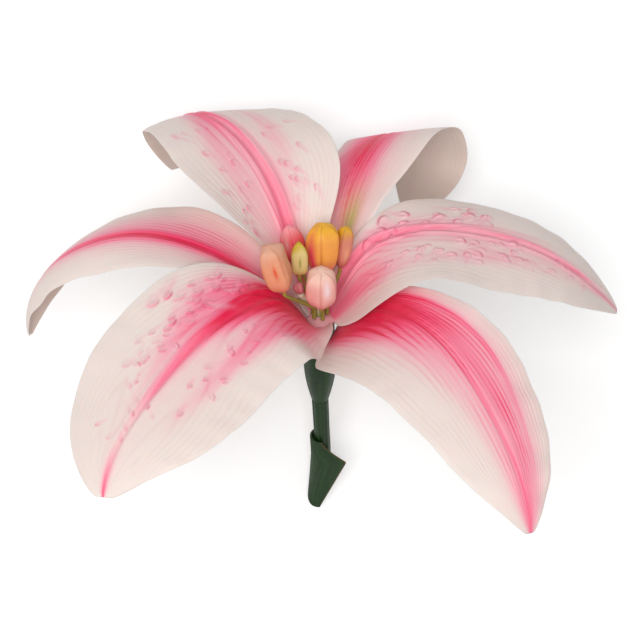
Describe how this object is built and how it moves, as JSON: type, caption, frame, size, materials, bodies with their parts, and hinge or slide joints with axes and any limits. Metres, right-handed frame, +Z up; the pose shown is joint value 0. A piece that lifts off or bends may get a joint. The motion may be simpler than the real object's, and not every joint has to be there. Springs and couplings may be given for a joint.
{
  "type": "cut lily",
  "caption": "Open lily bloom on a short cut stalk, with broad arching petals, narrower sepals behind them, plump stamens and a small clasping leaf, lying down.",
  "frame": {"origin": "middle of the bottom of the whole bloom's box, on the surface that it lies on", "axes": "+Z up from that surface, +X across the bloom from the left sepal to the right petal, +Y towards the two tepals that it rests on"},
  "size_m": [0.1992, 0.142, 0.1228],
  "materials": {
    "petal": "soft satin petal, cream with a pink midrib and raised pink marks",
    "sepal": "soft satin sepal, cream with a pink ribbed band",
    "anther_peach": "waxy peach",
    "anther_crimson": "waxy crimson pink",
    "anther_lime": "waxy pale yellow green",
    "anther_amber": "waxy amber yellow",
    "anther_blush": "waxy blush with a yellow top",
    "anther_rose": "waxy pale rose",
    "filament": "olive green stalk",
    "pistil": "pale whitish green",
    "stigma": "matt pink",
    "green": "dark green stalk, slightly waxy",
    "bract": "dark green leaf with reddish brown edges"
  },
  "bodies": {
    "root": {"petal_right": "petal", "petal_upper_left": "petal", "petal_lower_left": "petal", "sepal_upper_right": "sepal", "sepal_left": "sepal", "sepal_lower_right": "sepal", "anther_1": "anther_peach", "anther_2": "anther_crimson", "anther_3": "anther_lime", "anther_4": "anther_amber", "anther_5": "anther_blush", "anther_6": "anther_rose", "filament_1": "filament", "filament_2": "filament", "filament_3": "filament", "filament_4": "filament", "filament_5": "filament", "filament_6": "filament", "ovary": "pistil", "style": "pistil", "stigma": "stigma", "receptacle": "green", "stalk": "green", "bract": "bract"}
  },
  "joints": []
}
